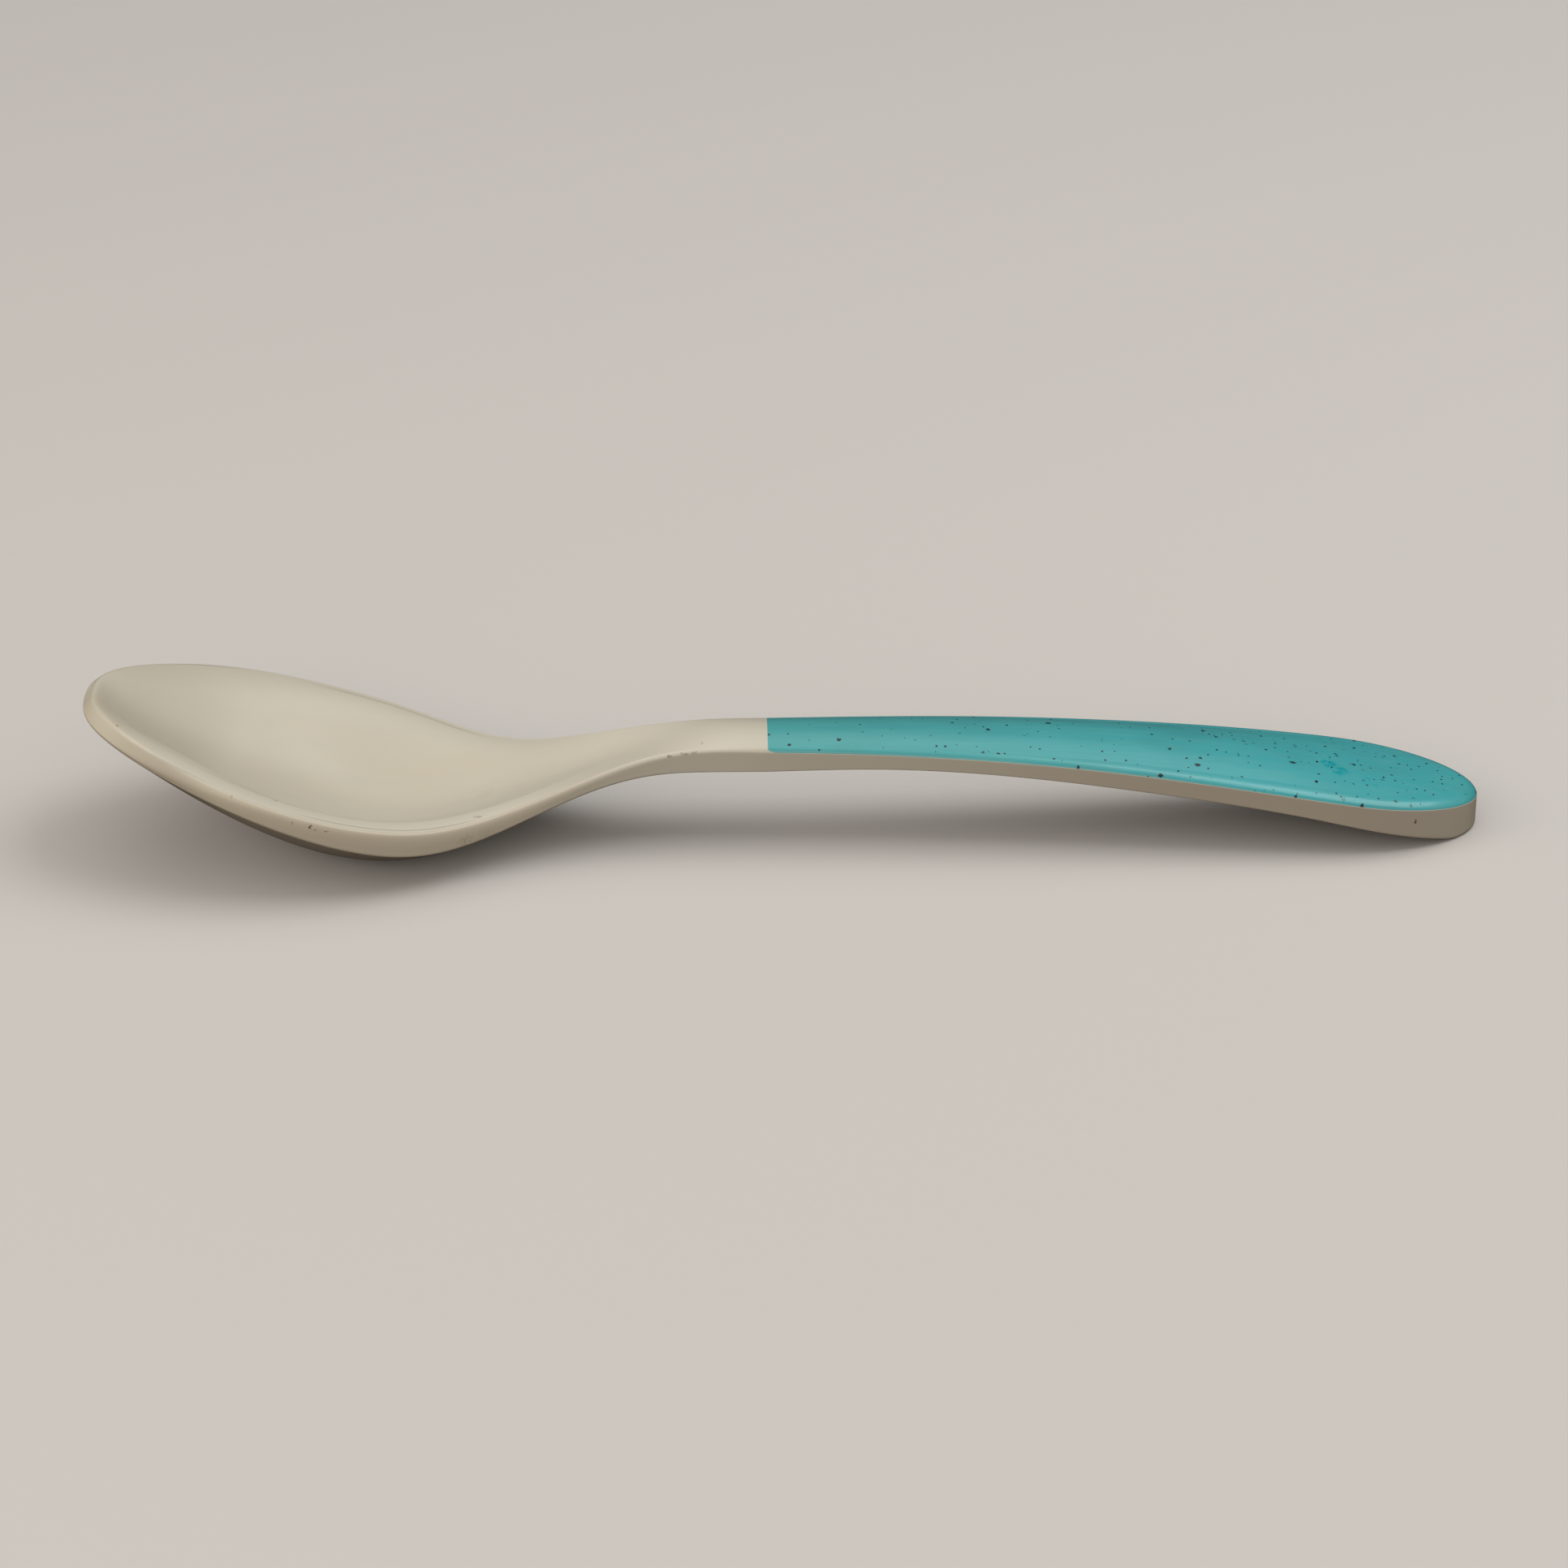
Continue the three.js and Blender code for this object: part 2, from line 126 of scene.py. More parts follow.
class TurquoiseFinish(bpy.types.PropertyGroup):
    """Colours and gloss of the speckled layer on the handle"""

    colour: colour_setting("Turquoise", "Colour of the front of the layer", (0.066, 0.346, 0.356))
    end_colour: colour_setting("Turquoise end", "Colour of the end of the layer", (0.05, 0.37, 0.4))
    pale_colour: colour_setting("Pale streaks", "Colour of its lengthwise streaks", (0.078, 0.385, 0.392))
    deep_colour: colour_setting("Deep clouds", "Colour of its deeper clouds", (0.05, 0.295, 0.31))
    smear_colour: colour_setting("Smear", "Colour of the smeared pigment", (0.0, 0.31, 0.35))
    speck_colour: colour_setting("Specks", "Near black of most specks", (0.0, 0.016, 0.02))
    olive_colour: colour_setting("Faint specks", "Olive of the paler specks", (0.025, 0.1, 0.08))
    corner_colour: colour_setting("Corner", "Cream at the rounded front corners", (0.555, 0.51, 0.408))
    gloss: share_setting("Roughness", "Roughness of the polished surface", 0.2)
    fine_cell: bpy.props.FloatProperty(
        name="Fine specks", description="Spacing of the finest specks in millimetres", default=1.5, min=0.5
    )
    coarse_cell: bpy.props.FloatProperty(
        name="Coarse specks", description="Spacing of the coarser specks in millimetres", default=3.4, min=0.5
    )

    def grades(self):
        """Cell size, share of cells with a speck, and smallest and largest radius, in millimetres"""
        return ((self.fine_cell, 0.17, 0.13, 0.23), (self.coarse_cell, 0.36, 0.19, 0.37))


class StudioStage(bpy.types.PropertyGroup):
    """Camera, floor and lamps"""

    lens: bpy.props.FloatProperty(
        name="Lens",
        description="Focal length in millimetres",
        default=102.5,
    )
    elevation: bpy.props.FloatProperty(
        name="Elevation",
        description="Height of the camera above the floor, as an angle",
        default=math.radians(26.5),
        subtype="ANGLE",
    )
    azimuth: bpy.props.FloatProperty(
        name="Azimuth",
        description="Turn of the camera round the spoon",
        default=math.radians(-1.15),
        subtype="ANGLE",
    )
    distance: bpy.props.FloatProperty(
        name="Distance",
        description="From the camera to the point it looks at",
        default=0.659,
        unit="LENGTH",
    )
    target: bpy.props.FloatVectorProperty(
        name="Target",
        description="Point in the middle of the picture",
        default=(-0.0001, 0.0134, 0.0),
        size=3,
        subtype="TRANSLATION",
    )
    floor_size: bpy.props.FloatProperty(
        name="Floor",
        description="Side of the square floor",
        default=8.0,
        unit="LENGTH",
    )
    floor_colour: colour_setting("Floor colour", "Pale warm grey of the floor", (0.6, 0.575, 0.545))
    bounce_colour: colour_setting("Floor bounce", "Colour that the floor throws back", (0.05, 0.034, 0.031))
    warm_white: colour_setting("Warm white", "Colour of the low sky and of the low lamps", (1.0, 0.92, 0.82))
    top_power: bpy.props.FloatProperty(
        name="Top lamp", description="Power of the soft lamp over the spoon", default=2.7, unit="POWER"
    )
    side_power: bpy.props.FloatProperty(
        name="Side lamp", description="Power of the soft lamp beside the bowl", default=0.72, unit="POWER"
    )
    front_power: bpy.props.FloatProperty(
        name="Front lamp", description="Power of the soft lamp before the spoon", default=0.95, unit="POWER"
    )
    sky_low: bpy.props.FloatProperty(
        name="Low sky", description="Strength of the even light at the horizon", default=0.25
    )
    sky_high: bpy.props.FloatProperty(
        name="High sky", description="Strength that the even light gains overhead", default=0.485
    )


class Wire:
    """An output socket; sums on it add Math nodes to its tree"""

    def __init__(self, finish, socket):
        self.finish = finish
        self.socket = socket

    def also(self, name):
        """Another output of the same node"""
        return Wire(self.finish, self.socket.node.outputs[name])

    def math(self, operation, *values):
        return self.finish.node("ShaderNodeMath", {"operation": operation}, dict(enumerate(values)))

    def most(self, other):
        return self.math("MAXIMUM", self, other)

    def __abs__(self):
        return self.math("ABSOLUTE", self)

    def __add__(self, other):
        return self.math("ADD", self, other)

    def __radd__(self, other):
        return self.math("ADD", other, self)

    def __sub__(self, other):
        return self.math("SUBTRACT", self, other)

    def __rsub__(self, other):
        return self.math("SUBTRACT", other, self)

    def __mul__(self, other):
        return self.math("MULTIPLY", self, other)

    def __rmul__(self, other):
        return self.math("MULTIPLY", other, self)

    def __truediv__(self, other):
        return self.math("DIVIDE", self, other)

    def __rtruediv__(self, other):
        return self.math("DIVIDE", other, self)

    def __pow__(self, other):
        return self.math("POWER", self, other)


class Finish:
    """A node tree that is filled node by node"""

    def __init__(self, owner):
        owner.use_nodes = True
        self.owner = owner
        self.tree = owner.node_tree
        self.tree.nodes.clear()

    def node(self, kind, settings=None, sockets=None, output=0):
        node = self.tree.nodes.new(kind)
        for key, value in (settings or {}).items():
            setattr(node, key, value)
        for key, value in (sockets or {}).items():
            if isinstance(value, Wire):
                self.tree.links.new(value.socket, node.inputs[key])
            else:
                node.inputs[key].default_value = value
        return Wire(self, node.outputs[output]) if node.outputs else node

    def vector(self, operation, *values, output=0):
        return self.node("ShaderNodeVectorMath", {"operation": operation}, dict(enumerate(values)), output)

    def place(self):
        """Object coordinates in millimetres"""
        metres = self.node("ShaderNodeTexCoord", output="Object")
        return self.vector("MULTIPLY", metres, (1.0 / MILLIMETRE,) * 3)

    def axes(self, place):
        x = self.node("ShaderNodeSeparateXYZ", sockets={"Vector": place}, output="X")
        return x, x.also("Y"), x.also("Z")

    def drawn_out(self, place, share):
        """Places pressed together along the spoon, so that a pattern on them runs lengthwise"""
        return self.vector("MULTIPLY", place, (share, 1.0, 1.0))

    def noise(self, place, scale, detail=2.0, roughness=0.5, output="Fac"):
        sockets = {"Vector": place, "Scale": scale, "Detail": detail, "Roughness": roughness}
        return self.node("ShaderNodeTexNoise", {"noise_dimensions": "3D"}, sockets, output)

    def ragged(self, place, scale, detail, roughness, reach):
        """Places moved about by noise, so that marks on them have uneven edges"""
        noise = self.noise(place, scale, detail, roughness, "Color")
        shift = self.vector("SUBTRACT", noise, (0.5,) * 3)
        return self.vector("ADD", place, self.vector("MULTIPLY", shift, (reach,) * 3))

    def between(self, value, low, high):
        """0 below low and 1 above high, or the other way round, with a smooth passage"""
        settings = {"interpolation_type": "SMOOTHSTEP", "clamp": True}
        sockets = {"Value": value, "From Min": low, "From Max": high, "To Min": 0.0, "To Max": 1.0}
        if low > high:
            sockets.update({"From Min": high, "From Max": low, "To Min": 1.0, "To Max": 0.0})
        return self.node("ShaderNodeMapRange", settings, sockets)

    def band(self, value, rise, fall):
        """1 from the end of a rise to the start of a fall, each the two values that it lies between"""
        return self.between(value, *rise) * self.between(value, *reversed(fall))

    def tint(self, share, colour, other):
        """A colour mixed with another by a share"""
        settings = {"data_type": "RGBA", "blend_type": "MIX", "clamp_factor": True}
        sockets = {"Factor": share, 6: self.solid(colour), 7: self.solid(other)}
        return self.node("ShaderNodeMix", settings, sockets, output=2)

    def solid(self, colour):
        return colour if isinstance(colour, Wire) else (*colour, 1.0)

    def spot(self, place, centre, radii, soft=0.5):
        """1 inside an ellipsoid, falling to 0 on its skin"""
        offset = self.vector("SUBTRACT", place, centre)
        reach = self.vector("MULTIPLY", offset, tuple(1.0 / radius for radius in radii))
        length = self.vector("LENGTH", reach, output="Value")
        return self.between(length, 1.0, soft)

    def spots(self, place, marks):
        """The strongest of several spots, each a centre, its radii and its strength"""
        strongest = None
        for centre, radii, strength in marks:
            spot = self.spot(place, centre, radii) * strength
            strongest = spot if strongest is None else strongest.most(spot)
        return strongest

    def plastic(self, colour, roughness, strength, relief):
        bump = {"Strength": strength, "Distance": BUMP_DEPTH, "Height": relief}
        normal = self.node("ShaderNodeBump", None, bump)
        return self.surface(
            {"Base Color": colour, "Roughness": roughness, "IOR": PLASTIC_IOR, "Normal": normal}
        )

    def surface(self, sockets):
        shader = self.node("ShaderNodeBsdfPrincipled", sockets=sockets)
        self.node("ShaderNodeOutputMaterial", sockets={"Surface": shader})
        return self.owner


# Spans along the spoon in millimetres over which a tint of the cream comes or goes
BOWL_SPAN = (-18.0, -40.0)
TIP_SPAN = (-82.0, -99.5)
BRIM_LIGHT_SPAN = (-98.0, -90.0)
NECK_LIGHT_SPAN = ((-38.0, -24.0), (-10.0, 2.0))
LINE_SPAN = ((-72.0, -64.0), (-48.0, -42.0))
WALL_SHADE_SPAN = ((-99.0, -92.0), (-88.0, -78.0))
HANDLE_SHADE_SPAN = (-5.0, 65.0)
HANDLE_SHADE_END_SPAN = (84.0, 99.0)
NEAR_SPAN = (3.0, -3.0)

# Distances in from the outline of the bowl in millimetres, below 0 on the underside
BRIM_LIGHT_INSETS = ((0.4, 0.9), (4.0, 5.2))
LINE_INSET, LINE_EDGE = 1.3, (0.34, 0.1)
EDGE_INSETS = (0.8, 0.3)
WALL_SHADE_INSETS = (1.6, 1.0)
WALL_INSETS = (-3.0, -0.5)

# A painted shade and a painted light patch inside the nose, each a centre and radii in millimetres and the
# share that is even
NOSE_SHADE_SPOT = ((-88.0, 2.0, 17.0), (16.0, 17.0, 9.0), 0.35)
NOSE_LIGHT_SPOT = ((-86.0, -11.0, 16.0), (14.0, 7.0, 7.0), 0.3)

# Marks of use on the cream, each a centre and radii in millimetres and a strength
NICKS = (
    ((-94.2, -9.7, 21.5), (0.3, 0.3, 0.4), 0.8),
    ((-77.45, -20.85, 15.8), (0.25, 0.4, 0.25), 0.4),
    ((-71.8, -17.4, 13.5), (0.4, 0.5, 0.4), 0.6),
    ((-69.15, -22.4, 12.5), (0.25, 0.4, 0.25), 0.4),
    ((-66.7, -22.5, 11.9), (0.28, 0.5, 0.28), 0.95),
    ((-66.05, -22.5, 11.4), (0.4, 0.5, 0.18), 0.4),
    ((-64.5, -22.45, 11.1), (0.35, 0.5, 0.2), 0.5),
    ((-44.0, -12.6, 8.2), (0.9, 0.5, 0.3), 0.35),
    ((-16.8, -5.4, 13.9), (0.45, 0.5, 0.22), 0.6),
    ((-14.7, -5.25, 14.2), (0.7, 0.5, 0.2), 0.4),
    ((-13.3, -5.2, 14.4), (0.5, 0.5, 0.2), 0.45),
    ((-12.1, -3.3, 15.05), (0.16, 0.5, 0.4), 0.4),
    ((89.7, -9.75, 4.6), (0.2, 0.5, 0.32), 0.95),
)
SCUFFS = (
    ((-45.4, -15.9, 5.9), (2.6, 1.5, 1.3), 0.8),
    ((-42.7, -14.1, 6.0), (2.2, 1.5, 1.6), 0.45),
    ((-43.3, 1.0, 5.1), (1.6, 1.6, 1.2), 0.3),
    ((-62.5, -21.8, 7.2), (4.0, 1.5, 0.8), 0.3),
)


def cream_finish(look):
    finish = Finish(bpy.data.materials.new("cream_melamine"))
    place = finish.place()
    along, across = finish.axes(place)[:2]
    inset = finish.node("ShaderNodeAttribute", {"attribute_name": "rim_inset"}, output="Fac")
    cloud = finish.noise(finish.drawn_out(place, 0.4), 0.09, 3.0)
    drift = finish.noise(finish.drawn_out(place, 0.12), 0.55, 3.0)
    grain = finish.noise(place, 5.0, 2.0)
    bowl = finish.between(along, *BOWL_SPAN)
    near = finish.between(across, *NEAR_SPAN)
    wall = finish.between(inset, *WALL_INSETS)
    colour = finish.tint(finish.between(cloud, 0.35, 0.7) * 0.55, look.colour, look.warm_colour)
    colour = finish.tint(finish.between(drift, 0.45, 0.75) * 0.3, colour, look.grey_colour)
    # Painted shade inside the nose, and a painted light patch on its near side
    colour = finish.tint(finish.spot(place, *NOSE_SHADE_SPOT) * 0.8, colour, look.nose_shade_colour)
    colour = finish.tint(finish.spot(place, *NOSE_LIGHT_SPOT) * 0.6, colour, look.painted_light_colour)
    # Painted light on the flat brim inside the near rim
    brim_light = finish.band(inset, *BRIM_LIGHT_INSETS) * finish.between(along, *BRIM_LIGHT_SPAN) * bowl * near
    colour = finish.tint(brim_light * 0.9, colour, look.painted_light_colour)
    # Painted light along the neck
    colour = finish.tint(finish.band(along, *NECK_LIGHT_SPAN) * 0.4, colour, look.painted_light_colour)
    line = finish.between(abs(inset - LINE_INSET), *LINE_EDGE) * finish.band(along, *LINE_SPAN)
    colour = finish.tint(line * 0.5, colour, look.line_colour)
    # Rim and wall: on the near side partly rubbing wear and partly painted warm bounce light, on the far side
    # painted light
    edge = finish.between(inset, *EDGE_INSETS) * wall * bowl
    rim_wear_and_light_colour = finish.tint(near, look.painted_light_colour, look.rim_wear_and_light_colour)
    colour = finish.tint(edge * 0.8, colour, rim_wear_and_light_colour)
    # Painted shade on the wall beside the nose
    wall_shade = finish.between(inset, *WALL_SHADE_INSETS) * wall * finish.band(along, *WALL_SHADE_SPAN)
    colour = finish.tint(wall_shade, colour, look.wall_shade_colour)
    tip = finish.between(along, *TIP_SPAN) * near
    colour = finish.tint(tip * (0.45 + 0.4 * cloud), colour, look.tip_colour)
    # Painted shade on the cream along the handle, weaker towards its end
    handle_shade = finish.between(along, *HANDLE_SHADE_SPAN) * 0.9 - finish.between(along, *HANDLE_SHADE_END_SPAN) * 0.4
    colour = finish.tint(handle_shade, colour, look.handle_shade_colour)
    rough_place = finish.ragged(place, 1.6, 3.0, 0.6, 0.9)
    patchy = finish.between(finish.noise(place, 2.2, 3.0), 0.35, 0.65)
    scuffed = finish.spots(rough_place, SCUFFS) * patchy
    colour = finish.tint(scuffed * 0.5, colour, look.scuff_colour)
    nicked = finish.spots(rough_place, NICKS)
    colour = finish.tint(nicked, colour, look.nick_colour)
    roughness = look.gloss + bowl * 0.1 + (grain - 0.5) * 0.06 + scuffed * 0.2
    relief = (grain - 0.5) * 0.3 + (cloud - 0.5) * 0.6 - nicked * 0.8
    return finish.plastic(colour, roughness, 0.12, relief)


# The larger specks of the coloured layer, each a centre and radii in millimetres and a strength
LARGE_SPECKS = (
    ((-2.6, -2.1, 15.6), (0.35, 0.3, 0.5), 1.0),
    ((28.9, -0.3, 15.3), (0.4, 0.4, 0.5), 1.0),
    ((27.9, -5.8, 14.3), (0.35, 0.35, 0.5), 0.8),
    ((37.8, 3.2, 14.5), (0.55, 0.5, 0.6), 1.0),
    ((53.0, -8.7, 11.8), (0.5, 0.4, 0.5), 1.0),
    ((54.8, -2.8, 13.2), (0.4, 0.4, 0.5), 0.9),
    ((58.5, -6.1, 12.2), (0.5, 0.45, 0.5), 1.0),
    ((60.5, 5.1, 12.2), (0.4, 0.5, 0.5), 1.0),
    ((72.7, -2.8, 10.9), (0.75, 0.4, 0.5), 1.0),
    ((86.7, -9.2, 7.4), (0.45, 0.4, 0.6), 0.8),
)
SMEARS = (
    ((78.1, -1.4, 9.9), (1.5, 1.5, 2.5), 1.0),
    ((79.5, -3.1, 9.6), (1.5, 1.6, 2.5), 1.0),
    ((83.2, -4.6, 8.8), (0.7, 1.5, 2.0), 0.4),
    ((84.3, -6.3, 8.5), (0.5, 1.0, 2.0), 0.3),
)


# The lower front corners of the layer are round and end in cream: places and sizes in millimetres
CORNER_FRONT, CORNER_LENGTH = -2.8, 1.7
CORNER_FOOT, CORNER_HEIGHT = 14.33, 0.55

# Spans along the layer in millimetres over which its colour changes and its specks grow more frequent
FRONT_TO_END = (0.0, 80.0)
SPARSE_TO_DENSE = (20.0, 90.0)


def turquoise_finish(look):
    finish = Finish(bpy.data.materials.new("turquoise_melamine"))
    place = finish.place()
    along, height = finish.axes(place)[::2]
    streak = finish.noise(finish.drawn_out(place, 0.05), 0.9, 4.0, 0.6)
    cloud = finish.noise(finish.drawn_out(place, 0.5), 0.16, 3.0)
    grain = finish.noise(place, 4.0, 2.0)
    colour = finish.tint(finish.between(along, *FRONT_TO_END), look.colour, look.end_colour)
    colour = finish.tint(finish.between(streak, 0.38, 0.68) * 0.6, colour, look.pale_colour)
    colour = finish.tint(finish.between(cloud, 0.45, 0.75) * 0.5, colour, look.deep_colour)
    patchy = finish.between(finish.noise(place, 1.1, 4.0, 0.7), 0.4, 0.52)
    smear = finish.spots(finish.ragged(place, 1.3, 3.0, 0.7, 3.0), SMEARS) * patchy
    colour = finish.tint(smear, colour, look.smear_colour)
    crumbs = finish.ragged(place, 3.2, 2.0, 0.6, 0.55)
    denser = finish.between(along, *SPARSE_TO_DENSE) * 0.16
    dark, faint = finish.spots(crumbs, LARGE_SPECKS), None
    for size, share, small, large in look.grades():
        cells = finish.node(
            "ShaderNodeTexVoronoi",
            {"voronoi_dimensions": "2D", "feature": "F1"},
            {"Vector": crumbs, "Scale": 1.0 / size, "Randomness": 1.0},
            "Distance",
        )
        pick = finish.node("ShaderNodeSeparateColor", sockets={"Color": cells.also("Color")}, output="Red")
        chosen = finish.between(pick - denser, share, share - 0.01)
        radius = (small + (large - small) * pick.also("Green") ** 2.5) / size
        speck = finish.between(cells / radius, 1.0, 0.8) * chosen
        tone = finish.between(pick.also("Blue"), 0.66, 0.9)
        dark = dark.most(speck * (1.0 - tone))
        light = speck * tone
        faint = light if faint is None else faint.most(light)
    colour = finish.tint(faint * 0.55, colour, look.olive_colour)
    colour = finish.tint(dark, colour, look.speck_colour)
    behind = (1.0 - (along - CORNER_FRONT) / CORNER_LENGTH).most(0.0)
    below = (1.0 - (height - CORNER_FOOT) / CORNER_HEIGHT).most(0.0)
    outside = finish.between((behind ** 2.0 + below ** 2.0) ** 0.5, 0.94, 1.06)
    outside = outside * finish.between(behind, 0.0, 0.05)
    colour = finish.tint(outside, colour, look.corner_colour)
    roughness = look.gloss + (grain - 0.5) * 0.05
    relief = (cloud - 0.5) * 0.8 + (grain - 0.5) * 0.2 - dark * 0.4
    return finish.plastic(colour, roughness, 0.1, relief)


def floor_finish(stage):
    """Pale to the eye, darker where it lights the spoon from below"""
    finish = Finish(bpy.data.materials.new("pale_floor"))
    seen = finish.node("ShaderNodeLightPath", output="Is Camera Ray")
    colour = finish.tint(seen, stage.bounce_colour, stage.floor_colour)
    return finish.surface({"Base Color": colour, "Roughness": 0.9, "Specular IOR Level": 0.1})


def sky_light(stage):
    """Even light that is warmer and weaker near the horizon, with a dark card low behind the spoon"""
    world = bpy.data.worlds.new("soft_sky")
    finish = Finish(world)
    direction = finish.node("ShaderNodeTexCoord", output="Generated")
    side, back, up = finish.axes(direction)
    up = up.most(0.0)
    strength = stage.sky_low + stage.sky_high * finish.between(up, 0.0, 0.45)
    weaker_behind = back * (0.42 - 1.1 * finish.between(up, 0.4, 0.9))
    weaker_right = 0.15 * side
    card = 0.75 * finish.between(back, 0.2, 0.7) * finish.between(up, 0.8, 0.55)
    strength = strength * (1.0 - weaker_behind - weaker_right) * (1.0 - card)
    colour = finish.tint(up, stage.warm_white, WHITE)
    sky = finish.node("ShaderNodeBackground", None, {"Color": colour, "Strength": strength})
    finish.node("ShaderNodeOutputWorld", sockets={"Surface": sky})
    return world


def select_only(piece):
    bpy.ops.object.select_all(action="DESELECT")
    bpy.context.view_layer.objects.active = piece
    piece.select_set(True)


def copy_of_node(node, name):
    """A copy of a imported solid, as one welded mesh of four-sided faces, left in edit mode"""
    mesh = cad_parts[node].data.copy()
    mesh.name = name
    mesh.materials.clear()
    piece = bpy.data.objects.new(name, mesh)
    bpy.context.scene.collection.objects.link(piece)
    select_only(piece)
    bpy.ops.mesh.customdata_custom_splitnormals_clear()
    bpy.ops.object.mode_set(mode="EDIT")
    bpy.ops.mesh.select_all(action="SELECT")
    bpy.ops.mesh.remove_doubles(threshold=WELD_DISTANCE)
    bpy.ops.mesh.tris_convert_to_quads(
        face_threshold=math.pi, shape_threshold=math.pi, topology_influence=1.32
    )
    return piece


def move_faces(piece, axis, distance):
    """In edit mode, moves the faces that face down an axis, as x is 0 and z is 2, further down it"""
    bpy.ops.mesh.select_all(action="DESELECT")
    bpy.ops.object.mode_set(mode="OBJECT")
    for face in piece.data.polygons:
        face.select = face.normal[axis] < -FACING
    bpy.ops.object.mode_set(mode="EDIT")
    shift = Vector((0.0, 0.0, 0.0))
    shift[axis] = -distance
    bpy.ops.transform.translate(value=shift)


def keep_sharp_edges(piece, shape):
    """In edit mode, creases the edges along the layer that turn by more than the sharp angle"""
    bpy.ops.mesh.select_mode(type="EDGE")
    bpy.ops.mesh.select_all(action="DESELECT")
    bpy.ops.mesh.edges_select_sharp(sharpness=shape.sharp_angle)
    bpy.ops.object.mode_set(mode="OBJECT")
    points = piece.data.vertices
    for edge in piece.data.edges:
        edge.select = edge.select and all(points[i].co.x > SEAT_START for i in edge.vertices)
    bpy.ops.object.mode_set(mode="EDIT")
    bpy.ops.transform.edge_crease(value=1.0)
    bpy.ops.mesh.mark_sharp()
    bpy.ops.mesh.select_mode(type="FACE")


def smooth_piece(piece, shape):
    bpy.ops.object.mode_set(mode="OBJECT")
    modifier = piece.modifiers.new("smooth", "SUBSURF")
    modifier.levels = shape.smooth_levels
    modifier.render_levels = shape.smooth_levels
    bpy.ops.object.modifier_apply(modifier=modifier.name)
    bpy.ops.object.shade_smooth()


def measure_rim(piece):
    """Stores how far each point lies inside the outline in plan, in millimetres, below 0 on the underside"""
    points = piece.data.vertices
    wall = [point.co for point in points if abs(point.normal.z) < UPRIGHT]
    outline = kdtree.KDTree(len(wall))
    for index, place in enumerate(wall):
        outline.insert((place.x, place.y, 0.0), index)
    outline.balance()
    inset = piece.data.attributes.new("rim_inset", "FLOAT", "POINT")
    for point in points:
        distance = outline.find((point.co.x, point.co.y, 0.0))[2]
        inset.data[point.index].value = math.copysign(distance, point.normal.z) / MILLIMETRE


def hand_over(piece, node, material):
    piece.data.materials.append(material)
    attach(piece, "root")
    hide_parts(node)


class TABLESPOON_OT_body(bpy.types.Operator):
    """Make the cream body: the bowl, the neck and the handle in one moulding"""

    bl_idname = "tablespoon.body"
    bl_label = "Cream body"

    def execute(self, context):
        spoon = context.scene.tablespoon
        body = copy_of_node("spoon_body", "cream_body")
        keep_sharp_edges(body, spoon.shape)
        smooth_piece(body, spoon.shape)
        measure_rim(body)
        hand_over(body, "spoon_body", cream_finish(spoon.cream))
        return {"FINISHED"}


class TABLESPOON_OT_layer(bpy.types.Operator):
    """Make the turquoise layer that is bonded to the top of the handle"""

    bl_idname = "tablespoon.layer"
    bl_label = "Speckled layer"

    def execute(self, context):
        spoon = context.scene.tablespoon
        layer = copy_of_node("handle_overlay", "speckled_layer")
        move_faces(layer, 2, spoon.shape.bond_gap)
        move_faces(layer, 0, spoon.shape.bond_gap)
        keep_sharp_edges(layer, spoon.shape)
        smooth_piece(layer, spoon.shape)
        hand_over(layer, "handle_overlay", turquoise_finish(spoon.turquoise))
        return {"FINISHED"}


def aim(thing, place, target):
    thing.location = place
    thing.rotation_euler = (Vector(target) - Vector(place)).to_track_quat("-Z", "Y").to_euler()


def add_camera(stage):
    bpy.ops.object.camera_add()
    camera = bpy.context.object
    camera.data.lens = stage.lens
    camera.data.sensor_width = SENSOR_WIDTH
    level = math.cos(stage.elevation)
    back = Vector(
        (
            math.sin(stage.azimuth) * level,
            -math.cos(stage.azimuth) * level,
            math.sin(stage.elevation),
        )
    )
    target = Vector(stage.target)
    aim(camera, target + stage.distance * back, target)
    bpy.context.scene.camera = camera


# Lamps, each a place and the sides of its face in metres
TOP_LAMP = ((0.45, 0.1, 0.8), (0.68, 0.54))
SIDE_LAMP = ((-0.6, -0.15, 0.32), (0.4, 0.4))
FRONT_LAMP = ((-0.2, -0.7, 0.3), (0.6, 0.4))


def add_lamp(name, place, size, power, colour):
    bpy.ops.object.light_add(type="AREA")
    lamp = bpy.context.object
    lamp.name = name
    lamp.data.shape = "RECTANGLE"
    lamp.data.size, lamp.data.size_y = size
    lamp.data.energy = power
    lamp.data.color = colour
    aim(lamp, place, (0, 0, 0))


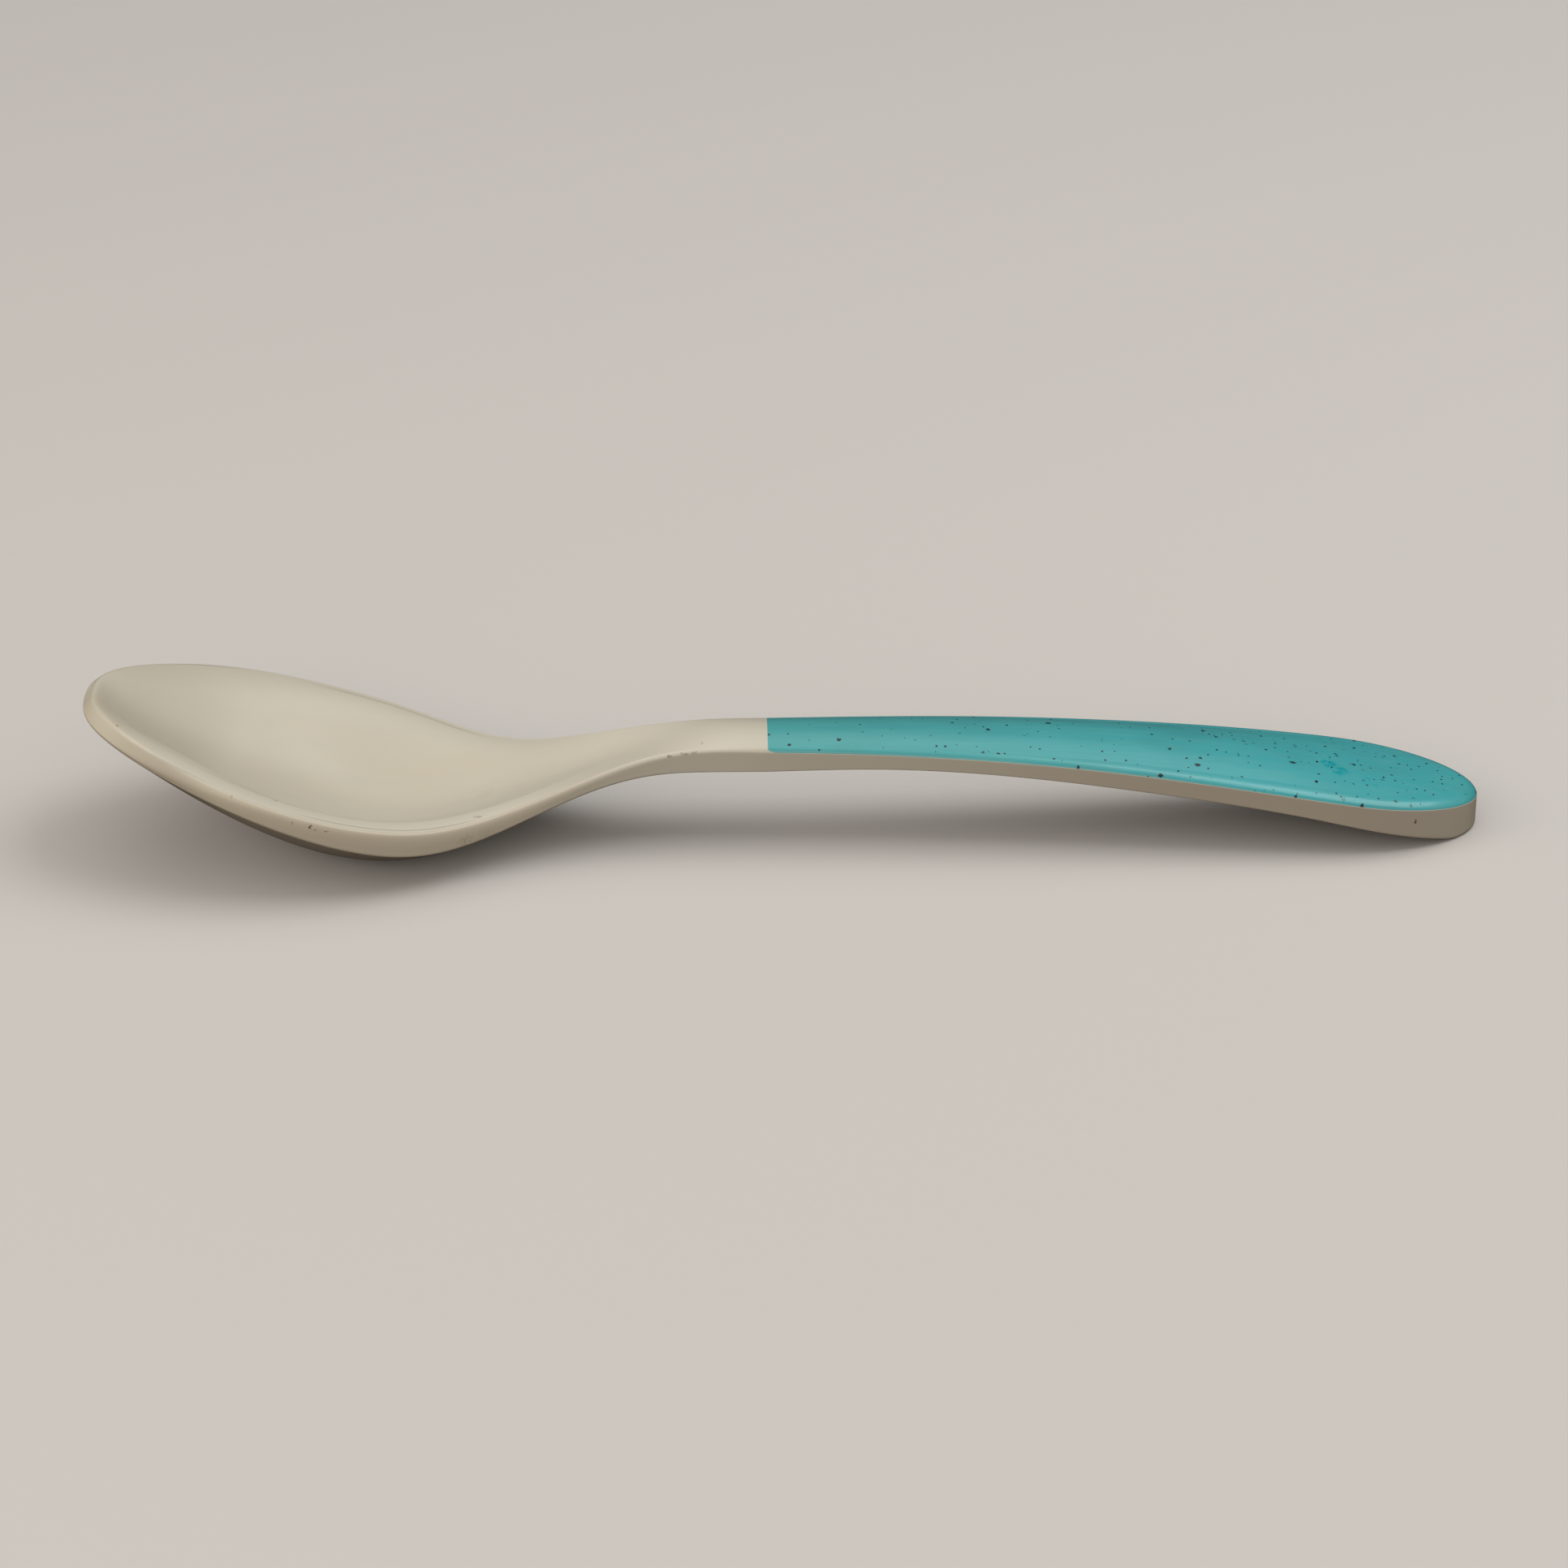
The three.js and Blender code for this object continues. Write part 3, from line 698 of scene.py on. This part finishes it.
class TABLESPOON_OT_stage(bpy.types.Operator):
    """Make the floor, the lamps and the camera"""

    bl_idname = "tablespoon.stage"
    bl_label = "Studio stage"

    def execute(self, context):
        stage = context.scene.tablespoon.stage
        bpy.ops.object.select_all(action="DESELECT")
        bpy.ops.mesh.primitive_plane_add(size=stage.floor_size)
        floor = context.object
        floor.name = "floor"
        floor.data.materials.append(floor_finish(stage))
        add_camera(stage)
        add_lamp("top_lamp", *TOP_LAMP, stage.top_power, WHITE)
        add_lamp("side_lamp", *SIDE_LAMP, stage.side_power, stage.warm_white)
        add_lamp("front_lamp", *FRONT_LAMP, stage.front_power, stage.warm_white)
        context.scene.world = sky_light(stage)
        context.scene.view_settings.view_transform = "Standard"
        return {"FINISHED"}


class Tablespoon(bpy.types.PropertyGroup):
    """All settings of the spoon"""

    shape: bpy.props.PointerProperty(type=SpoonShape)
    cream: bpy.props.PointerProperty(type=CreamFinish)
    turquoise: bpy.props.PointerProperty(type=TurquoiseFinish)
    stage: bpy.props.PointerProperty(type=StudioStage)


class TABLESPOON_PT_panel(bpy.types.Panel):
    """Lists the operators of the spoon"""

    bl_idname = "TABLESPOON_PT_panel"
    bl_label = "Tablespoon"
    bl_space_type = "VIEW_3D"
    bl_region_type = "UI"
    bl_category = "Tablespoon"

    def draw(self, context):
        for operator in OPERATORS:
            self.layout.operator(operator.bl_idname)


OPERATORS = (TABLESPOON_OT_body, TABLESPOON_OT_layer, TABLESPOON_OT_stage)
CLASSES = (
    SpoonShape,
    CreamFinish,
    TurquoiseFinish,
    StudioStage,
    Tablespoon,
    *OPERATORS,
    TABLESPOON_PT_panel,
)


def register():
    for cls in CLASSES:
        bpy.utils.register_class(cls)
    bpy.types.Scene.tablespoon = bpy.props.PointerProperty(type=Tablespoon)


def unregister():
    del bpy.types.Scene.tablespoon
    for cls in reversed(CLASSES):
        bpy.utils.unregister_class(cls)


def main():
    register()
    bpy.ops.tablespoon.body()
    bpy.ops.tablespoon.layer()
    bpy.ops.tablespoon.stage()


if __name__ == "__main__":
    main()
